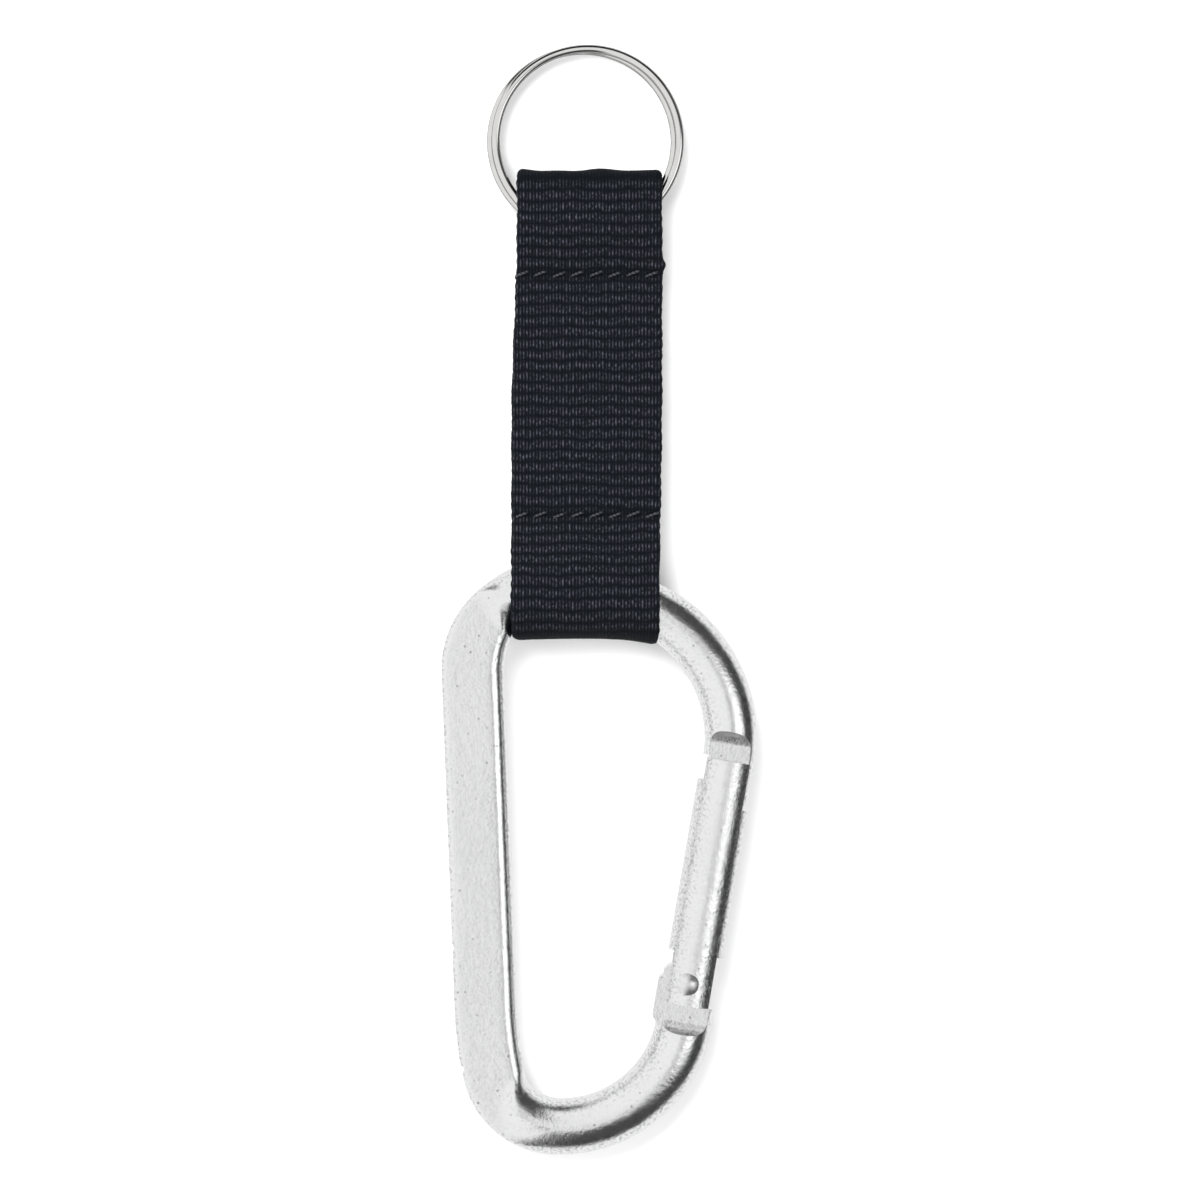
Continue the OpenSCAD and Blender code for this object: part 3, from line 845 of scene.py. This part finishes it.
# ---------------------------------------------------------------- studio
def floor():
    """A pale floor under the keyring, left out of reflections, where only the world shows."""
    half, z = 900.0, cad_box[0].z / MM
    corners = [(-half, -half, z), (half, -half, z), (half, half, z), (-half, half, z)]
    obj = make_object("floor", corners, [(0, 1, 2, 3)])
    obj.data.materials.append(plain_material("pale_floor", (0.93, 0.93, 0.93), 0.0))
    obj.visible_glossy = False


def ring_flag():
    """A black card beyond the ring that only reflections see: it darkens those in the ring's far side."""
    y, half_w, top = 101.0, 45.0, 62.0
    corners = [(-half_w, y, 0), (half_w, y, 0), (half_w, y, top), (-half_w, y, top)]
    card = make_object("flag_card", corners, [(0, 1, 2, 3)])
    card.data.materials.append(plain_material("black_card", (0.01, 0.01, 0.011)))
    card.visible_diffuse = False
    card.visible_shadow = False
    card.visible_camera = False


def studio_world():
    """A pale sky with a long dark zone low on the right, and a bright box and a dark seam above it.
    Tilt is in degrees from straight up, and azimuth in degrees from +X in the floor's plane."""
    base, box_gain, seam_loss, flag_loss = 0.9, 0.45, -0.92, -0.93
    world = bpy.data.worlds.new("studio")
    bpy.context.scene.world = world
    world.use_nodes = True
    tree = world.node_tree
    sky = add_node(tree, "TexCoord").outputs["Generated"]
    parts = add_node(tree, "SeparateXYZ", None, {"Vector": sky}).outputs
    tilt = maths(tree, "DEGREES", maths(tree, "ARCCOSINE", parts["Z"]))
    azimuth = maths(tree, "DEGREES", maths(tree, "ARCTAN2", parts["Y"], parts["X"]))

    def rises(value, low, high):
        return spread(tree, value, low, high, interpolation_type="SMOOTHSTEP")

    def falls(value, low, high):
        return maths(tree, "SUBTRACT", 1.0, rises(value, low, high))

    def product(first, *others):
        for other in others:
            first = maths(tree, "MULTIPLY", first, other)
        return first

    # The dark zone runs from the front's left, round the right, to the rear's right.
    round_it = product(rises(azimuth, -112, -96), falls(azimuth, 66, 80))
    near_x = product(rises(azimuth, -54, -22), falls(azimuth, 4, 40))
    flag_low = maths(tree, "MULTIPLY_ADD", near_x, 38.0, 20.0)
    flag_high = maths(tree, "MULTIPLY_ADD", near_x, 20.0, 92.0)
    flag = product(rises(maths(tree, "SUBTRACT", tilt, flag_low), -6, 6),
                   falls(maths(tree, "SUBTRACT", tilt, flag_high), -5, 5), round_it)
    box = product(rises(tilt, 20, 23), falls(tilt, 54, 62), near_x)
    seam = product(rises(tilt, 4, 7), falls(tilt, 17, 21), near_x)
    value = product(maths(tree, "MULTIPLY_ADD", box, box_gain, base),
                    maths(tree, "MULTIPLY_ADD", seam, seam_loss, 1.0),
                    maths(tree, "MULTIPLY_ADD", flag, flag_loss, 1.0))
    background = tree.nodes["Background"]
    background.inputs["Color"].default_value = (1, 1, 1, 1)
    tree.links.new(value, background.inputs["Strength"])


def lights():
    """Two soft lamps that light the webbing and the floor, and are left out of reflections."""
    for name, place, size, power in (("key", (-0.25, 0.35, 0.6), 0.5, 7.0),
                                     ("fill", (0.3, -0.3, 0.5), 0.6, 3.0)):
        lamp = bpy.data.lights.new(name, "AREA")
        lamp.size, lamp.energy = size, power
        obj = bpy.data.objects.new(name, lamp)
        obj.location = place
        obj.rotation_euler = (-Vector(place)).to_track_quat("-Z", "Y").to_euler()
        obj.visible_glossy = False
        bpy.context.scene.collection.objects.link(obj)


def camera():
    """Straight above the keyring, as in the photo."""
    view_w, distance, mid_height = 0.1602, 0.75, 4 * MM
    cam = bpy.data.cameras.new("camera")
    cam.sensor_width = 36
    cam.lens = cam.sensor_width * distance / view_w
    obj = bpy.data.objects.new("camera", cam)
    obj.location = (0, 0, distance + mid_height)
    bpy.context.scene.collection.objects.link(obj)
    bpy.context.scene.camera = obj


def cad_finishes():
    """Materials for the CAD nodes that are shown, and softer edges on the gate."""
    for node, material in (("gate", "gate"), ("gate_rivet", "rivet"), ("gate_plunger", "nickel")):
        obj = frame["nodes"][node]
        obj.data.materials.clear()
        obj.data.materials.append(MATERIALS[material])
    soften_edges(frame["nodes"]["gate"], 0.1)


MATERIALS = {
    "webbing": webbing_material(),
    "thread": thread_material(),
    "nickel": nickel_material(),
    "bar": aluminium("bar_aluminium", 0.15, 1.3),
    "gate": aluminium("gate_aluminium", 0.16, 2.0, 0.45),
    "rivet": aluminium("rivet_aluminium", 0.3, 1.0),
}
camera()
floor()
ring_flag()
studio_world()
lights()
bpy.context.scene.view_settings.view_transform = "Standard"
carabiner_body()
strap()
split_ring()
stitch_rows()
gate_spring()
cad_finishes()
